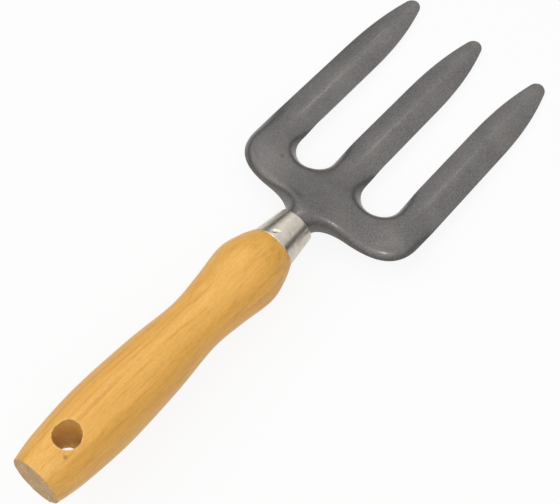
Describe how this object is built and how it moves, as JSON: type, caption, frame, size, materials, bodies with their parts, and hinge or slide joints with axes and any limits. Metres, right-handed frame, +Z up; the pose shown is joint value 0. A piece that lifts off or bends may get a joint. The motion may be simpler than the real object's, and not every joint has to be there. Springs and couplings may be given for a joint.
{
  "type": "hand fork",
  "caption": "Short-handled garden hand fork: pressed steel head with flat pointed tines, conical ferrule and a turned wooden grip with a hanging hole.",
  "frame": {"origin": "on the ground plane under the centre of the lying tool's box; the tool rests back upwards on the grip's front swell and the tine tips", "axes": "+X towards the tine tips, +Y across the head, +Z up from the ground; the tool's own axis dips 5.6 degrees towards the tips"},
  "size_m": [0.3, 0.097, 0.0433],
  "materials": {
    "varnished_wood": "clear varnish, satin, with bare sawn end grain at the butt",
    "ferrule_steel": "drawn and lightly brushed",
    "painted_steel": "dark warm grey fine-speckled satin paint",
    "tang_steel": "bare rolled steel",
    "weld_metal": "rippled weld bead under the paint"
  },
  "bodies": {
    "root": {"handle": "varnished_wood", "ferrule": "ferrule_steel", "fork_head": "painted_steel", "tang": "tang_steel", "tang_weld_left": "weld_metal", "tang_weld_right": "weld_metal"}
  },
  "joints": []
}
